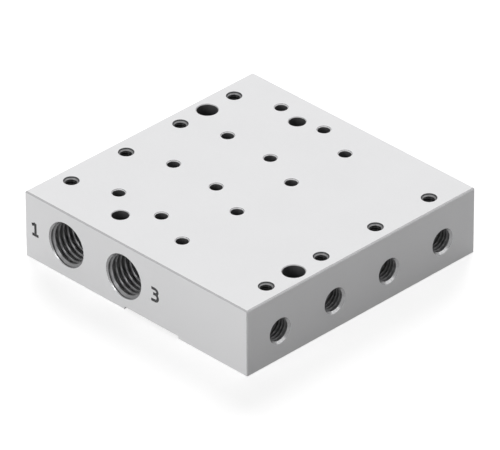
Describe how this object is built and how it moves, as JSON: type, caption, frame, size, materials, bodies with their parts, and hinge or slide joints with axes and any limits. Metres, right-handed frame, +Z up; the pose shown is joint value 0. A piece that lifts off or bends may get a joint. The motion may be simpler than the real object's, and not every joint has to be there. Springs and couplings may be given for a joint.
{
  "type": "pneumatic manifold",
  "caption": "Machined aluminium air manifold block with numbered threaded galleries, threaded side outlets and rows of valve drillings on its top face.",
  "frame": {"origin": "middle of the base", "axes": "+Z up from the base to the valve face, +Y along the galleries from the face with numbered ports 1 and 3 to the back, +X towards the side with the outlets"},
  "size_m": [0.111, 0.1134, 0.0268],
  "materials": {
    "aluminium": "milled and clear anodised, satin"
  },
  "bodies": {
    "root": {"manifold_block": "aluminium"}
  },
  "joints": []
}
